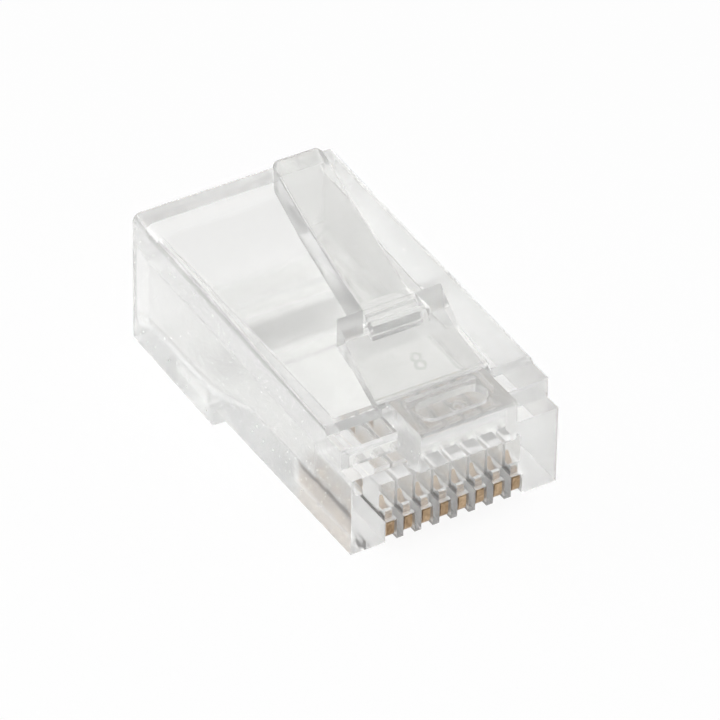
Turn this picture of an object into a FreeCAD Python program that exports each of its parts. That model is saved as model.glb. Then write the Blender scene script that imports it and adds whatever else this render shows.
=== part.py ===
"""Eight-position modular plug, empty and not yet crimped, lying with its contacts down.

Frame: X across the plug, +Y from the nose towards the cable end, +Z up to the latch.
Everything is drawn from the nose datum (front face Y = 0, contact face Z = 0, middle
X = 0) and moved at the end so that the origin is the middle of the underside.
"""
import FreeCAD
import Part
import math
import os

Vec = FreeCAD.Vector

# Body, measured from the nose datum
plugWidth = 11.68
bodyLength = 21.46
ledgeHeight = 4.50
ledgeDepth = 1.00
noseTop = 5.66
shoulderStart = 2.35
shoulderEnd = 2.70
shoulderTop = 5.98
rearTop = 6.75
heelStart = 13.40
heelDrop = 1.13
heelRise = 0.26
noseEdgeRound = 0.20
rearEdgeRound = 0.45
smallRound = 0.20

# Boss in front of the latch, where the tab springs from
bossWidth = 5.42
bossReach = 1.20
bossTop = 6.84
bossUnder = 4.62
pocketLength = 3.90
pocketFront = -0.30
pocketRear = 1.20
pocketDepth = 0.45
ventFront = 1.42
ventRear = 1.72
ventDepth = 0.90
gateX = 0.30
gateY = 0.35
gateRadius = 0.40
gateHeight = 0.10

# Contacts and the wire channels above them
contactCount = 8
contactPitch = 1.02
bladeThick = 0.42
bladeFront = 0.06
bladeLength = 6.05
bladeFoot = 0.05
bladeTop = 1.42
bladeRound = 0.45
toothHeight = 0.50
toothCount = 3
slotWidth = 0.64
slotHeight = 1.20
slotLength = 6.50
gripFront = 0.55
channelWidth = 0.86
channelFloor = 1.62
channelTop = 3.25
channelRound = 0.12
channelFront = 0.95
channelEnd = 4.20

# Cable cavity and strain relief
mouthWidth = 9.50
mouthRoof = 4.30
mouthFlare = 0.45
galleryWidth = 8.90
galleryRoof = 3.80
galleryStart = 10.20
throatStart = 14.20
cavityFloor = -0.15
cavityRound = 1.10
galleryRound = 0.30
roofRound = 0.12
windowWidth = 7.40
windowFront = 15.00
windowRear = 18.20
barUnder = -0.85
barTop = 1.30
barWeb = 0.28

# Latch, as moulded and released
plateHalfFront = 3.14
plateHalfRear = 2.94
leverHalfTop = 1.40
leverHalfUnder = 1.62
hingeY = 2.45
hingeZ = 6.46
hingeRadius = 0.30
hingeGap = 0.05
rampStartY = 4.74
rampStartZ = 7.52
catchY = 6.41
catchZ = 8.96
catchUnderZ = 7.28
stepY = 5.21
stepZ = 8.79
bevelEndY = 6.89
bevelEndZ = 8.99
leverSag = 0.19
leverDraftDepth = 1.45
tipY = 15.60
tipZ = 12.27
tipUnderY = 15.20
tipUnderZ = 11.00
tipRound = 0.15
tipCorner = 0.35
kinkY = 12.39
kinkZ = 9.66


def polygonFace(points):
    """Flat face from its corners, in order."""
    return Part.Face(Part.makePolygon(points + [points[0]]))


def sideExtrusion(outline, halfWidth):
    """Solid of a (Y, Z) outline, as wide as twice halfWidth about the middle."""
    face = polygonFace([Vec(-halfWidth, y, z) for y, z in outline])
    return face.extrude(Vec(2 * halfWidth, 0, 0))


def blockBetween(xMin, xMax, yMin, yMax, zMin, zMax):
    """Box from its six limits."""
    corner = Vec(xMin, yMin, zMin)
    return Part.makeBox(xMax - xMin, yMax - yMin, zMax - zMin, corner)


def edgesWhere(shape, test):
    """Edges whose every vertex passes the test."""
    return [e for e in shape.Edges if e.Vertexes and all(test(v.Point) for v in e.Vertexes)]


def near(a, b):
    return abs(a - b) < 1e-4


def contactPlaces():
    """X of each contact, from the left one."""
    first = -(contactCount - 1) / 2
    return [(first + i) * contactPitch for i in range(contactCount)]


def bodyShell():
    """Outer form: stepped nose, gently rising top and the deeper heel behind it."""
    outline = [
        (0, 0),
        (0, ledgeHeight),
        (ledgeDepth, ledgeHeight),
        (ledgeDepth, noseTop),
        (shoulderStart, noseTop),
        (shoulderEnd, shoulderTop),
        (bodyLength, rearTop),
        (bodyLength, heelRise - heelDrop),
        (heelStart, -heelDrop),
        (heelStart, 0),
    ]
    half = plugWidth / 2
    body = sideExtrusion(outline, half)
    for side in (-half, half):
        top = edgesWhere(body, lambda p: near(p.x, side) and p.z > shoulderTop - 0.01)
        rising = [e for e in top if e.Length > 10 and e.BoundBox.ZMin > shoulderTop - 0.01]
        edge = rising[0]
        frontFirst = edge.Vertexes[0].Point.y < edge.Vertexes[-1].Point.y
        radii = (noseEdgeRound, rearEdgeRound) if frontFirst else (rearEdgeRound, noseEdgeRound)
        body = body.makeFillet(radii[0], radii[1], [edge])
    heelStep = edgesWhere(body, lambda p: near(p.y, heelStart) and near(p.z, 0))
    body = body.makeFillet(2 * smallRound, heelStep)
    return body


def bossSolid():
    """Boss that carries the tab, with the rear hollowed round the hinge line."""
    outline = [
        (-bossReach, bossUnder),
        (-bossReach, bossTop),
        (0.6 * hingeY, bossTop),
        (hingeY, hingeZ + hingeRadius),
        (hingeY, shoulderTop - 0.3),
        (ledgeDepth, ledgeHeight - 0.4),
        (0.15, ledgeHeight - 0.4),
    ]
    boss = sideExtrusion(outline, bossWidth / 2)
    rimmed = edgesWhere(boss, lambda p: near(p.y, -bossReach) and p.z > bossUnder)
    boss = boss.makeFillet(smallRound, rimmed)
    return boss


def bossPocket():
    """Round-ended recess on top of the boss."""
    radius = (pocketRear - pocketFront) / 2
    reach = pocketLength / 2 - radius
    middle = (pocketRear + pocketFront) / 2
    floor = bossTop - pocketDepth
    left = Part.makeCylinder(radius, 2, Vec(-reach, middle, floor))
    right = Part.makeCylinder(radius, 2, Vec(reach, middle, floor))
    centre = blockBetween(-reach, reach, pocketFront, pocketRear, floor, floor + 2)
    return left.fuse([centre, right])


def bossVent():
    """Narrow slit across the boss, just in front of the hinge line."""
    half = pocketLength / 2
    return blockBetween(-half, half, ventFront, ventRear, bossTop - ventDepth, bossTop + 1)


def gateMark():
    """Ring left where the material was fed in, on the pocket floor."""
    floor = bossTop - pocketDepth
    foot = Vec(gateX, gateY, floor - 0.05)
    ring = Part.makeCylinder(gateRadius, gateHeight + 0.05, foot)
    core = Part.makeCylinder(gateRadius - 0.12, gateHeight + 0.05, foot)
    return ring.cut(core)


def hingeHollow():
    """Space swept round the hinge line by the end of the tab."""
    width = bossWidth + 4
    start = Vec(-width / 2, hingeY, hingeZ)
    return Part.makeCylinder(hingeRadius + hingeGap, width, start, Vec(1, 0, 0))


def roundedRectangle(width, zMin, zMax, lowRound, highRound, y):
    """Closed wire of a rectangle with round corners, across the plug at Y = y."""
    half = width / 2
    foot = half - lowRound
    head = half - highRound
    low = zMin + lowRound
    high = zMax - highRound
    lowBulge = lowRound * math.sqrt(0.5)
    highBulge = highRound * math.sqrt(0.5)
    lowRight = Vec(foot + lowBulge, y, low - lowBulge)
    highRight = Vec(head + highBulge, y, high + highBulge)
    lowLeft = Vec(-foot - lowBulge, y, low - lowBulge)
    highLeft = Vec(-head - highBulge, y, high + highBulge)
    edges = [
        Part.LineSegment(Vec(-foot, y, zMin), Vec(foot, y, zMin)).toShape(),
        Part.Arc(Vec(foot, y, zMin), lowRight, Vec(half, y, low)).toShape(),
        Part.LineSegment(Vec(half, y, low), Vec(half, y, high)).toShape(),
        Part.Arc(Vec(half, y, high), highRight, Vec(head, y, zMax)).toShape(),
        Part.LineSegment(Vec(head, y, zMax), Vec(-head, y, zMax)).toShape(),
        Part.Arc(Vec(-head, y, zMax), highLeft, Vec(-half, y, high)).toShape(),
        Part.LineSegment(Vec(-half, y, high), Vec(-half, y, low)).toShape(),
        Part.Arc(Vec(-half, y, low), lowLeft, Vec(-foot, y, zMin)).toShape(),
    ]
    return Part.Wire(edges)


def cavitySection(y, floor, lowRound, grow=0.0):
    """Section of the cavity at Y = y; its walls and roof close in evenly to the front."""
    share = (bodyLength - y) / (bodyLength - channelEnd)
    width = mouthWidth + share * (galleryWidth - mouthWidth)
    roof = mouthRoof + share * (galleryRoof - mouthRoof)
    return roundedRectangle(
        width + 2 * grow, floor - grow, roof + grow, lowRound + grow, roofRound + grow, y
    )


def cableCavity():
    """Mouth for the jacket, throat where the floor rises, and gallery for the spread wires."""
    flared = cavitySection(bodyLength + 0.01, cavityFloor, cavityRound, mouthFlare)
    mouth = cavitySection(bodyLength - 2 * mouthFlare, cavityFloor, cavityRound)
    throat = cavitySection(throatStart, cavityFloor, cavityRound)
    gallery = cavitySection(galleryStart, channelFloor, galleryRound)
    end = cavitySection(channelEnd, channelFloor, galleryRound)
    lead = Part.makeLoft([flared, mouth], True, True)
    barrel = Part.makeLoft([mouth, throat], True, True)
    funnel = Part.makeLoft([throat, gallery], True, True)
    wires = Part.makeLoft([gallery, end], True, True)
    return lead.fuse([barrel, funnel, wires])


def wireChannel(x):
    """Passage for one wire, from the front wall to the gallery, with a flat roof."""
    half = channelWidth / 2
    rear = channelEnd + 0.3
    passage = blockBetween(x - half, x + half, channelFront, rear, channelFloor, channelTop)
    along = edgesWhere(passage, lambda p: p.z > channelTop - 0.01)
    return passage.makeFillet(channelRound, [e for e in along if e.BoundBox.YLength > 0.5])


def contactSlot(x):
    """Open slot for one contact: wide at the jack side, gripping the blade above."""
    wide = blockBetween(
        x - slotWidth / 2, x + slotWidth / 2, -0.5, slotLength, -0.5, slotHeight
    )
    grip = blockBetween(
        x - bladeThick / 2,
        x + bladeThick / 2,
        gripFront,
        slotLength,
        slotHeight - 0.1,
        channelFloor + 0.05,
    )
    return wide.fuse(grip)


def strainWindow():
    """Window in the heel, through which the strain relief is pushed on to the jacket."""
    half = windowWidth / 2
    return blockBetween(-half, half, windowFront, windowRear, -heelDrop - 0.5, cavityFloor + 0.8)


def strainBar():
    """Wedge in the window, held by a thin web along its rear edge."""
    outline = [
        (windowFront + 0.25, barUnder),
        (windowFront + 0.25, barUnder + 1.0),
        (windowFront + 1.15, barTop),
        (windowRear - 0.90, barTop),
        (windowRear - 0.40, barUnder + barWeb),
        (windowRear + 0.20, barUnder + barWeb),
        (windowRear + 0.20, barUnder),
    ]
    return sideExtrusion(outline, windowWidth / 2 - 0.25)


def housing():
    """The clear moulding without its tab."""
    body = bodyShell().fuse(bossSolid())
    hollows = [bossPocket(), bossVent(), hingeHollow(), cableCavity(), strainWindow()]
    hollows += [wireChannel(x) for x in contactPlaces()]
    hollows += [contactSlot(x) for x in contactPlaces()]
    body = body.cut(hollows)
    body = body.fuse([gateMark(), strainBar()])
    return body.removeSplitter()


def latchPlate():
    """Wide front part of the tab, rounded at the flexing line, with the two locking shoulders."""
    x = -plateHalfFront
    profile = Part.makePolygon(
        [
            Vec(x, hingeY, hingeZ + hingeRadius),
            Vec(x, rampStartY, rampStartZ),
            Vec(x, catchY, catchZ),
            Vec(x, catchY, catchUnderZ),
            Vec(x, hingeY, hingeZ - hingeRadius),
        ]
    )
    knuckle = Part.Arc(
        Vec(x, hingeY, hingeZ - hingeRadius),
        Vec(x, hingeY - hingeRadius, hingeZ),
        Vec(x, hingeY, hingeZ + hingeRadius),
    ).toShape()
    face = Part.Face(Part.Wire(profile.Edges + [knuckle]))
    plate = face.extrude(Vec(2 * plateHalfFront, 0, 0))
    taper = polygonFace(
        [
            Vec(-plateHalfFront - 1, hingeY - 1, 0),
            Vec(plateHalfFront + 1, hingeY - 1, 0),
            Vec(plateHalfFront + 1, hingeY, 0),
            Vec(plateHalfFront, hingeY, 0),
            Vec(plateHalfRear, rampStartY, 0),
            Vec(plateHalfRear, catchY + 1, 0),
            Vec(-plateHalfRear, catchY + 1, 0),
            Vec(-plateHalfRear, rampStartY, 0),
            Vec(-plateHalfFront, hingeY, 0),
            Vec(-plateHalfFront - 1, hingeY, 0),
        ]
    ).extrude(Vec(0, 0, 12))
    return plate.common(taper)


def leverSection(along, normal):
    """Prism with leaning sides that trims the lever to its narrower top."""
    origin = Vec(0, bevelEndY, bevelEndZ) - along * 4
    section = [
        origin + Vec(-leverHalfUnder - 1, 0, 0) - normal * 6,
        origin + Vec(-leverHalfUnder, 0, 0) - normal * leverDraftDepth,
        origin + Vec(-leverHalfTop, 0, 0),
        origin + Vec(-leverHalfTop, 0, 0) + normal * 2,
        origin + Vec(leverHalfTop, 0, 0) + normal * 2,
        origin + Vec(leverHalfTop, 0, 0),
        origin + Vec(leverHalfUnder, 0, 0) - normal * leverDraftDepth,
        origin + Vec(leverHalfUnder + 1, 0, 0) - normal * 6,
    ]
    return polygonFace(section).extrude(along * 16)


def latchLever():
    """Finger lever: slightly hollow along its back, with sides that lean in towards the top."""
    x = -leverHalfUnder
    slope = math.atan2(tipZ - bevelEndZ, tipY - bevelEndY)
    along = Vec(0, math.cos(slope), math.sin(slope))
    normal = Vec(0, -math.sin(slope), math.cos(slope))
    root = Vec(x, bevelEndY, bevelEndZ)
    tip = Vec(x, tipY, tipZ)
    sides = Part.makePolygon(
        [
            tip,
            Vec(x, tipUnderY, tipUnderZ),
            Vec(x, kinkY, kinkZ),
            Vec(x, catchY, catchUnderZ + 0.1),
            Vec(x, stepY + 0.6, catchUnderZ + 0.3),
            Vec(x, bevelEndY - 0.6, bevelEndZ - 0.3),
            root,
        ]
    )
    back = Part.Arc(root, (root + tip) * 0.5 - normal * leverSag, tip).toShape()
    face = Part.Face(Part.Wire(sides.Edges + [back]))
    lever = face.extrude(Vec(2 * leverHalfUnder, 0, 0))
    lever = lever.common(leverSection(along, normal))
    corners = edgesWhere(lever, lambda p: p.y > tipUnderY - 0.01)
    lever = lever.makeFillet(tipCorner, [e for e in corners if e.BoundBox.ZLength > 0.5])
    rim = edgesWhere(lever, lambda p: p.y > tipY - tipCorner - 0.2 and p.z > tipUnderZ + 0.8)
    return lever.makeFillet(tipRound, [e for e in rim if e.BoundBox.XLength > 0.1])


def leverStep():
    """Block at the root of the lever, flaring out to the front under a flatter bevel."""
    sections = []
    for y, top, half in ((stepY, stepZ, leverHalfUnder), (bevelEndY, bevelEndZ, leverHalfTop)):
        corners = [
            Vec(-leverHalfUnder, y, catchUnderZ + 0.2),
            Vec(leverHalfUnder, y, catchUnderZ + 0.2),
            Vec(half, y, top),
            Vec(-half, y, top),
        ]
        sections.append(Part.makePolygon(corners + [corners[0]]))
    return Part.makeLoft(sections, True, True)


def latch():
    """The sprung tab, one solid."""
    return latchPlate().fuse([latchLever(), leverStep()])


def contactBlade(x):
    """Stamped contact: rounded jack-side corner and piercing teeth along the top."""
    front = bladeFront
    rear = bladeFront + bladeLength
    r = bladeRound
    c = r * (1 - math.sqrt(0.5))
    pitch = (rear - gripFront) / (toothCount + 1)
    points = [Vec(x, front, bladeFoot + r), Vec(x, front, slotHeight - 0.15)]
    points.append(Vec(x, gripFront + 0.05, slotHeight - 0.15))
    points.append(Vec(x, gripFront + 0.05, bladeTop))
    for i in range(toothCount):
        base = gripFront + 0.05 + (i + 0.5) * pitch
        points.append(Vec(x, base, bladeTop))
        points.append(Vec(x, base + 0.30 * pitch, bladeTop + toothHeight))
        points.append(Vec(x, base + 0.60 * pitch, bladeTop))
    points.append(Vec(x, rear, bladeTop))
    points.append(Vec(x, rear, bladeFoot))
    points.append(Vec(x, front + r, bladeFoot))
    lines = Part.makePolygon(points)
    corner = Part.Arc(
        Vec(x, front + r, bladeFoot),
        Vec(x, front + c, bladeFoot + c),
        Vec(x, front, bladeFoot + r),
    ).toShape()
    face = Part.Face(Part.Wire(lines.Edges + [corner]))
    blade = face.extrude(Vec(bladeThick, 0, 0))
    blade.translate(Vec(-bladeThick / 2, 0, 0))
    return blade


def place(shape):
    """Move from the nose datum to the part's own frame."""
    moved = shape.copy()
    moved.translate(Vec(0, -(bodyLength - bossReach) / 2, heelDrop))
    return moved


def write(name, shape):
    """Export one node and print its measures."""
    solid = place(shape)
    if len(solid.Solids) != 1 or not solid.isValid():
        raise RuntimeError(name + " is not one valid solid")
    solid.Solids[0].exportStep("parts/" + name + ".step")
    box = solid.BoundBox
    limits = (box.XMin, box.XMax, box.YMin, box.YMax, box.ZMin, box.ZMax)
    print(name, [round(v, 2) for v in limits], round(solid.Volume, 2))


os.makedirs("parts", exist_ok=True)
write("housing", housing())
write("latch", latch())
for number, placeX in enumerate(contactPlaces(), 1):
    write("contact_" + str(number), contactBlade(placeX))
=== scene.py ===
import math

import bmesh
import bpy
from mathutils import Matrix, Vector


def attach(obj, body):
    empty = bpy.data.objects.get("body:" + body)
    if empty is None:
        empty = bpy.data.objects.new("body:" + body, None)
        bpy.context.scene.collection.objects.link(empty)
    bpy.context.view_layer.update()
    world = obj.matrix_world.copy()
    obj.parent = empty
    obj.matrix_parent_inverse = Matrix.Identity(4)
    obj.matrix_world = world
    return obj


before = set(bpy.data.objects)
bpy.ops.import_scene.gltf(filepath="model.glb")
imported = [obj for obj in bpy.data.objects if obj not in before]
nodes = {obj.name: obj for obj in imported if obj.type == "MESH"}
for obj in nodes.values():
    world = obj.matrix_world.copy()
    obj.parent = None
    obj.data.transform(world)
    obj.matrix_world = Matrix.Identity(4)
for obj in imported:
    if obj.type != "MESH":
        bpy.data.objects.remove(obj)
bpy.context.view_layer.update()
print("frame loaded")


def newMaterial(name):
    material = bpy.data.materials.new(name)
    material.use_nodes = True
    material.node_tree.nodes.clear()
    return material, material.node_tree


def addNode(tree, kind, **settings):
    node = tree.nodes.new(kind)
    for key, value in settings.items():
        setattr(node, key, value)
    return node


def numberSocket(group, name, direction="INPUT"):
    return group.interface.new_socket(name, in_out=direction, socket_type="NodeSocketFloat")


# A Math node whose two inputs are plain numbers or other nodes' outputs.
def combine(tree, operation, first, second):
    node = addNode(tree, "ShaderNodeMath", operation=operation)
    for socket, value in zip(node.inputs, (first, second)):
        if isinstance(value, float):
            socket.default_value = value
        else:
            tree.links.new(value, socket)
    return node.outputs[0]


# A Map Range node from 0 to 1 between two edges; its To Max may be linked afterwards.
def addStep(tree, source, edges, kind="SMOOTHSTEP"):
    step = addNode(tree, "ShaderNodeMapRange", interpolation_type=kind)
    step.inputs["From Min"].default_value = edges[0]
    step.inputs["From Max"].default_value = edges[1]
    tree.links.new(source, step.inputs["Value"])
    return step


# The slight unevenness of a moulded or stamped surface: flow waves, fine grain, and a
# roughness that differs between nose, body, side faces and boss.
mouldedSurfaceValues = {
    "waveDetail": 2.0,
    "grainDetail": 3.0,
    "noseToBody": (-0.0080, 0.0),  # along the plug
    "sideways": (0.6, 0.9),  # how squarely a face looks to the side
    "bossHeight": (0.00690, 0.00700),
    "bossRear": (-0.00780, -0.00800),
}

# The group's inputs, by the name of the value that sets each.
surfaceInputs = {
    "waveScale": "Wave Scale",
    "grainScale": "Grain Scale",
    "grainShare": "Grain Share",
    "noseRoughness": "Nose Roughness",
    "roughness": "Roughness",
    "roughnessSpread": "Roughness Spread",
    "flankRoughness": "Flank Roughness",
    "bossRoughness": "Boss Roughness",
}


def makeMouldedSurface(values):
    group = bpy.data.node_groups.new("mouldedSurface", "ShaderNodeTree")
    for socketName in surfaceInputs.values():
        numberSocket(group, socketName)
    numberSocket(group, "Height", "OUTPUT")
    numberSocket(group, "Roughness", "OUTPUT")
    link = group.links.new
    given = addNode(group, "NodeGroupInput").outputs
    result = addNode(group, "NodeGroupOutput").inputs
    coordinates = addNode(group, "ShaderNodeTexCoord").outputs

    waves = addNode(group, "ShaderNodeTexNoise", noise_dimensions="3D")
    grain = addNode(group, "ShaderNodeTexNoise", noise_dimensions="3D")
    height = addNode(group, "ShaderNodeMix", data_type="FLOAT")
    waves.inputs["Detail"].default_value = values["waveDetail"]
    grain.inputs["Detail"].default_value = values["grainDetail"]
    link(coordinates["Object"], waves.inputs["Vector"])
    link(coordinates["Object"], grain.inputs["Vector"])
    link(given["Wave Scale"], waves.inputs["Scale"])
    link(given["Grain Scale"], grain.inputs["Scale"])
    link(given["Grain Share"], height.inputs["Factor"])
    link(waves.outputs["Fac"], height.inputs[2])
    link(grain.outputs["Fac"], height.inputs[3])
    link(height.outputs[0], result["Height"])

    place = addNode(group, "ShaderNodeSeparateXYZ")
    facing = addNode(group, "ShaderNodeSeparateXYZ")
    link(coordinates["Object"], place.inputs[0])
    link(coordinates["Normal"], facing.inputs[0])
    along = addStep(group, place.outputs["Y"], values["noseToBody"])
    link(given["Nose Roughness"], along.inputs["To Min"])
    link(given["Roughness"], along.inputs["To Max"])
    sideways = combine(group, "ABSOLUTE", facing.outputs["X"], 0.0)
    flank = addStep(group, sideways, values["sideways"])
    link(given["Flank Roughness"], flank.inputs["To Max"])
    high = addStep(group, place.outputs["Z"], values["bossHeight"], "LINEAR")
    front = addStep(group, place.outputs["Y"], values["bossRear"], "LINEAR")
    link(given["Boss Roughness"], front.inputs["To Max"])
    boss = combine(group, "MULTIPLY", high.outputs[0], front.outputs[0])
    haze = combine(group, "MAXIMUM", along.outputs[0], flank.outputs[0])
    haze = combine(group, "MAXIMUM", haze, boss)
    spread = combine(group, "MULTIPLY", grain.outputs["Fac"], given["Roughness Spread"])
    link(combine(group, "ADD", spread, haze), result["Roughness"])
    return group


mouldedSurface = makeMouldedSurface(mouldedSurfaceValues)


def addSurface(tree, values):
    surface = addNode(tree, "ShaderNodeGroup", node_tree=mouldedSurface)
    for key, socketName in surfaceInputs.items():
        surface.inputs[socketName].default_value = values[key]
    return surface


def addBump(tree, surface, values):
    bump = addNode(tree, "ShaderNodeBump")
    bump.inputs["Strength"].default_value = values["bumpStrength"]
    bump.inputs["Distance"].default_value = values["bumpDistance"]
    tree.links.new(surface.outputs["Height"], bump.inputs["Height"])
    return bump.outputs["Normal"]


bodyPlasticValues = {
    "colour": (0.95, 0.948, 0.94, 1.0),
    "ior": 1.585,
    "transmission": 0.86,
    "absorbColour": (0.80, 0.80, 0.79, 1.0),
    "absorbDensity": 3.0,
    "noseRoughness": 0.02,
    "roughness": 0.09,
    "roughnessSpread": 0.02,
    "flankRoughness": 0.26,
    "bossRoughness": 0.20,
    "waveScale": 250.0,
    "grainScale": 5000.0,
    "grainShare": 0.10,
    "bumpStrength": 0.25,
    "bumpDistance": 0.00003,
    "shadowTint": (0.93, 0.935, 0.935, 1.0),
}

tabPlasticValues = dict(
    bodyPlasticValues,
    colour=(0.90, 0.90, 0.89, 1.0),
    roughness=0.03,
    flankRoughness=0.03,
    transmission=0.88,
)


# Clear polycarbonate; light passes through it to the ground as through a pale filter.
def makeClearPlastic(name, values):
    material, tree = newMaterial(name)
    link = tree.links.new
    surface = addSurface(tree, values)
    plastic = addNode(tree, "ShaderNodeBsdfPrincipled")
    plastic.inputs["Base Color"].default_value = values["colour"]
    plastic.inputs["IOR"].default_value = values["ior"]
    plastic.inputs["Transmission Weight"].default_value = values["transmission"]
    depth = addNode(tree, "ShaderNodeVolumeAbsorption")
    depth.inputs["Color"].default_value = values["absorbColour"]
    depth.inputs["Density"].default_value = values["absorbDensity"]
    passing = addNode(tree, "ShaderNodeBsdfTransparent")
    passing.inputs["Color"].default_value = values["shadowTint"]
    path = addNode(tree, "ShaderNodeLightPath")
    mix = addNode(tree, "ShaderNodeMixShader")
    output = addNode(tree, "ShaderNodeOutputMaterial")
    link(addBump(tree, surface, values), plastic.inputs["Normal"])
    link(surface.outputs["Roughness"], plastic.inputs["Roughness"])
    link(path.outputs["Is Shadow Ray"], mix.inputs[0])
    link(plastic.outputs[0], mix.inputs[1])
    link(passing.outputs[0], mix.inputs[2])
    link(mix.outputs[0], output.inputs["Surface"])
    link(depth.outputs[0], output.inputs["Volume"])
    return material


# Both gold colours are darker than bright gold: painted shade of the slots the contacts sit in.
goldValues = {
    "light": (0.62, 0.46, 0.30, 1.0),
    "deep": (0.26, 0.165, 0.09, 1.0),
    "deepTo": 0.35,
    "lightFrom": 0.65,
    "noseRoughness": 0.22,
    "roughness": 0.22,
    "roughnessSpread": 0.20,
    "flankRoughness": 0.0,
    "bossRoughness": 0.0,
    "waveScale": 900.0,
    "grainScale": 9000.0,
    "grainShare": 0.5,
    "bumpStrength": 0.3,
    "bumpDistance": 0.00001,
}


# Thin gold over copper alloy, deeper in colour at random where the plating is thin; both colours
# are also kept dark overall, as painted shade of the slots the contacts sit in.
def makeGold(name, values):
    material, tree = newMaterial(name)
    link = tree.links.new
    surface = addSurface(tree, values)
    ramp = addNode(tree, "ShaderNodeValToRGB")
    for element, position, colour in zip(
        ramp.color_ramp.elements,
        (values["deepTo"], values["lightFrom"]),
        (values["deep"], values["light"]),
    ):
        element.position = position
        element.color = colour
    gold = addNode(tree, "ShaderNodeBsdfPrincipled")
    gold.inputs["Metallic"].default_value = 1.0
    output = addNode(tree, "ShaderNodeOutputMaterial")
    link(surface.outputs["Height"], ramp.inputs["Fac"])
    link(ramp.outputs["Color"], gold.inputs["Base Color"])
    link(surface.outputs["Roughness"], gold.inputs["Roughness"])
    link(addBump(tree, surface, values), gold.inputs["Normal"])
    link(gold.outputs[0], output.inputs["Surface"])
    return material


bodyPlastic = makeClearPlastic("bodyPlastic", bodyPlasticValues)
tabPlastic = makeClearPlastic("tabPlastic", tabPlasticValues)
goldPlate = makeGold("goldPlate", goldValues)
print("materials made")


def dress(name, material):
    thing = nodes[name]
    for slot in thing.material_slots:
        slot.material = material
    if not thing.material_slots:
        thing.data.materials.append(material)


dress("housing", bodyPlastic)
dress("latch", tabPlastic)
for name in nodes:
    if name.startswith("contact_"):
        dress(name, goldPlate)
print("nodes dressed")

numeralValues = {
    "text": "8",
    "size": 0.00150,
    "centre": (0.00006, -0.00648, 0.008145),
    "slope": 24.84,
    "thickness": 0.00003,
    "mergeWithin": 0.0000005,
}


# A raised numeral on the sloping plate of the tab, which tells the number of ways.
def makeNumeral(values):
    curve = bpy.data.curves.new("numeral", "FONT")
    curve.body = values["text"]
    curve.size = values["size"]
    curve.extrude = values["thickness"]
    curve.align_x = "CENTER"
    curve.align_y = "CENTER"
    drawn = bpy.data.objects.new("drawnNumeral", curve)
    bpy.context.collection.objects.link(drawn)
    bpy.context.view_layer.update()
    depsgraph = bpy.context.evaluated_depsgraph_get()
    mesh = bpy.data.meshes.new_from_object(drawn.evaluated_get(depsgraph))
    bpy.data.objects.remove(drawn)
    shell = bmesh.new()
    shell.from_mesh(mesh)
    bmesh.ops.remove_doubles(shell, verts=shell.verts, dist=values["mergeWithin"])
    bmesh.ops.recalc_face_normals(shell, faces=shell.faces)
    shell.to_mesh(mesh)
    shell.free()
    tilted = Matrix.Rotation(math.radians(values["slope"]), 4, "X")
    mesh.transform(Matrix.Translation(Vector(values["centre"])) @ tilted)
    mesh.materials.clear()
    mesh.materials.append(tabPlastic)
    numeral = bpy.data.objects.new("numeral", mesh)
    bpy.context.collection.objects.link(numeral)
    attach(numeral, "tab")


makeNumeral(numeralValues)
print("numeral made")


# A flat rectangle on the stage, from its left front corner.
def makeSheet(name, corner, size, material):
    x, y, z = corner
    width, depth = size
    corners = [(x, y, z), (x + width, y, z), (x + width, y + depth, z), (x, y + depth, z)]
    mesh = bpy.data.meshes.new(name)
    mesh.from_pydata(corners, [], [(0, 1, 2, 3)])
    mesh.materials.append(material)
    sheet = bpy.data.objects.new(name, mesh)
    bpy.context.collection.objects.link(sheet)
    return sheet


groundValues = {
    "corner": (-0.6, -0.6, 0.0),
    "size": (1.2, 1.2),
    "colour": (0.93, 0.93, 0.93, 1.0),
    "seenStrength": 1.0,
    "seenShare": 0.90,
    "throughShare": 0.4,
}


# The ground is matt and takes the shadow; the camera, and less so the plastic, see it whiter.
def makeGround(values):
    material, tree = newMaterial("paleGround")
    link = tree.links.new
    matt = addNode(tree, "ShaderNodeBsdfDiffuse")
    matt.inputs["Color"].default_value = values["colour"]
    white = addNode(tree, "ShaderNodeEmission")
    white.inputs["Strength"].default_value = values["seenStrength"]
    rays = addNode(tree, "ShaderNodeLightPath").outputs
    bent = combine(tree, "MAXIMUM", rays["Is Glossy Ray"], rays["Is Transmission Ray"])
    through = combine(tree, "MULTIPLY", bent, values["throughShare"])
    seen = combine(tree, "MULTIPLY", rays["Is Camera Ray"], values["seenShare"])
    mix = addNode(tree, "ShaderNodeMixShader")
    output = addNode(tree, "ShaderNodeOutputMaterial")
    link(combine(tree, "MAXIMUM", seen, through), mix.inputs[0])
    link(matt.outputs[0], mix.inputs[1])
    link(white.outputs[0], mix.inputs[2])
    link(mix.outputs[0], output.inputs["Surface"])
    ground = makeSheet("ground", values["corner"], values["size"], material)


makeGround(groundValues)

cardValues = {
    "corner": (-0.042, 0.011, 0.0003),
    "size": (0.014, 0.027),
    "colour": (0.02, 0.018, 0.015, 1.0),
}


# A black card beside the plug, which only shows in the plastic.
def makeCard(values):
    material, tree = newMaterial("blackCard")
    matt = addNode(tree, "ShaderNodeBsdfDiffuse")
    matt.inputs["Color"].default_value = values["colour"]
    output = addNode(tree, "ShaderNodeOutputMaterial")
    tree.links.new(matt.outputs[0], output.inputs["Surface"])
    card = makeSheet("darkCard", values["corner"], values["size"], material)
    card.visible_camera = False
    card.visible_diffuse = False
    card.visible_shadow = False


makeCard(cardValues)

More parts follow.
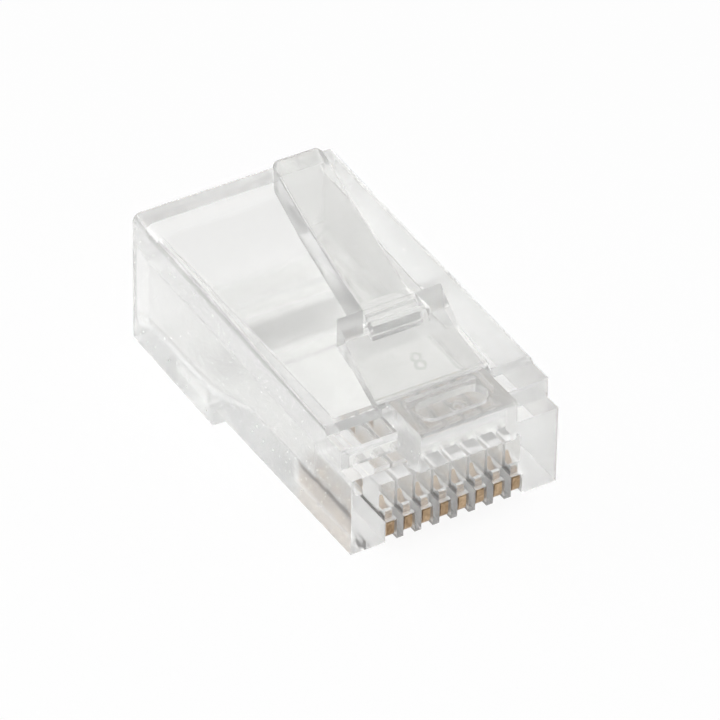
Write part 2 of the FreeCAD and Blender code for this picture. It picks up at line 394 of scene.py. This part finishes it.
tentValues = {
    "surroundStrength": 0.55,
    "lightPaths": 24,
    "gaps": [
        {"towards": (0.97, 0.00, 0.26), "reach": (0.82, 0.97), "darkness": 0.95},  # right
        {"towards": (-0.54, 0.54, 0.64), "reach": (0.82, 0.97), "darkness": 0.85},  # left
        {"towards": (0.16, 0.39, 0.91), "reach": (0.82, 0.97), "darkness": 0.85},  # above, rear
        {"towards": (0.41, 0.19, 0.89), "reach": (0.86, 0.98), "darkness": 0.60},  # above, right
        {"towards": (0.37, 0.70, 0.61), "reach": (0.88, 0.98), "darkness": 0.75},  # behind
    ],
}


# How much of the white tent is left in each direction, from 0 in a gap to 1 away from all.
def tentShare(tree, gaps):
    around = addNode(tree, "ShaderNodeTexCoord")
    lit = 1.0
    for gap in gaps:
        nearness = addNode(tree, "ShaderNodeVectorMath", operation="DOT_PRODUCT")
        nearness.inputs[1].default_value = gap["towards"]
        tree.links.new(around.outputs["Generated"], nearness.inputs[0])
        within = addStep(tree, nearness.outputs["Value"], gap["reach"])
        dark = combine(tree, "MULTIPLY", within.outputs[0], gap["darkness"])
        lit = combine(tree, "MULTIPLY", lit, combine(tree, "SUBTRACT", 1.0, dark))
    return lit


# A white light tent with gaps, which grey the flat faces and draw dark lines in clear plastic.
def makeWorld(values):
    world = bpy.data.worlds.new("studio")
    world.use_nodes = True
    tree = world.node_tree
    tree.nodes.clear()
    link = tree.links.new
    tent = addNode(tree, "ShaderNodeBackground")
    link(tentShare(tree, values["gaps"]), tent.inputs["Strength"])
    dim = addNode(tree, "ShaderNodeBackground")
    dim.inputs["Strength"].default_value = values["surroundStrength"]
    white = addNode(tree, "ShaderNodeBackground")
    rays = addNode(tree, "ShaderNodeLightPath").outputs
    bent = combine(tree, "MAXIMUM", rays["Is Glossy Ray"], rays["Is Transmission Ray"])
    mirrored = addNode(tree, "ShaderNodeMixShader")
    seen = addNode(tree, "ShaderNodeMixShader")
    output = addNode(tree, "ShaderNodeOutputWorld")
    link(bent, mirrored.inputs[0])
    link(dim.outputs[0], mirrored.inputs[1])
    link(tent.outputs[0], mirrored.inputs[2])
    link(rays["Is Camera Ray"], seen.inputs[0])
    link(mirrored.outputs[0], seen.inputs[1])
    link(white.outputs[0], seen.inputs[2])
    link(seen.outputs[0], output.inputs["Surface"])
    scene = bpy.context.scene
    scene.world = world
    scene.cycles.max_bounces = values["lightPaths"]
    scene.cycles.glossy_bounces = values["lightPaths"]
    scene.cycles.transmission_bounces = values["lightPaths"]


makeWorld(tentValues)

lampValues = [
    {"name": "keyLamp", "from": (-0.16, -0.10, 0.30), "size": 0.16, "power": 0.50},
    {"name": "fillLamp", "from": (0.28, -0.16, 0.16), "size": 0.20, "power": 0.26},
    {"name": "backLamp", "from": (-0.24, 0.22, 0.24), "size": 0.22, "power": 0.32},
]

# The point on the plug that the lamps and the camera look at.
aim = Vector((0.0, -0.00013, 0.00513))


def addLamp(values):
    lamp = bpy.data.lights.new(values["name"], "AREA")
    lamp.size = values["size"]
    lamp.energy = values["power"]
    thing = bpy.data.objects.new(values["name"], lamp)
    thing.location = values["from"]
    direction = aim - thing.location
    thing.rotation_euler = direction.to_track_quat("-Z", "Y").to_euler()
    bpy.context.collection.objects.link(thing)


for values in lampValues:
    addLamp(values)

cameraValues = {
    "azimuth": -31.3,
    "elevation": 37.28,
    "roll": 0.93,
    "distance": 0.3402,
    "focalLength": 345.2,
    "sensorWidth": 36.0,
    "clip": (0.01, 10.0),
    "sideways": 0.000494,
    "upwards": -0.000787,
}


def makeCamera(values):
    azimuth = math.radians(values["azimuth"])
    elevation = math.radians(values["elevation"])
    roll = math.radians(values["roll"])
    back = Vector((
        math.sin(azimuth) * math.cos(elevation),
        -math.cos(azimuth) * math.cos(elevation),
        math.sin(elevation),
    ))
    level = Vector((math.cos(azimuth), math.sin(azimuth), 0.0))
    upright = back.cross(level)
    right = level * math.cos(roll) + upright * math.sin(roll)
    up = upright * math.cos(roll) - level * math.sin(roll)
    target = aim + right * values["sideways"] + up * values["upwards"]
    data = bpy.data.cameras.new("camera")
    data.lens = values["focalLength"]
    data.sensor_width = values["sensorWidth"]
    data.clip_start, data.clip_end = values["clip"]
    camera = bpy.data.objects.new("camera", data)
    place = Matrix((right, up, back)).transposed().to_4x4()
    place.translation = target + back * values["distance"]
    camera.matrix_world = place
    bpy.context.collection.objects.link(camera)
    bpy.context.scene.camera = camera


makeCamera(cameraValues)
bpy.context.scene.view_settings.view_transform = "Standard"
print("stage, lamps and camera set")
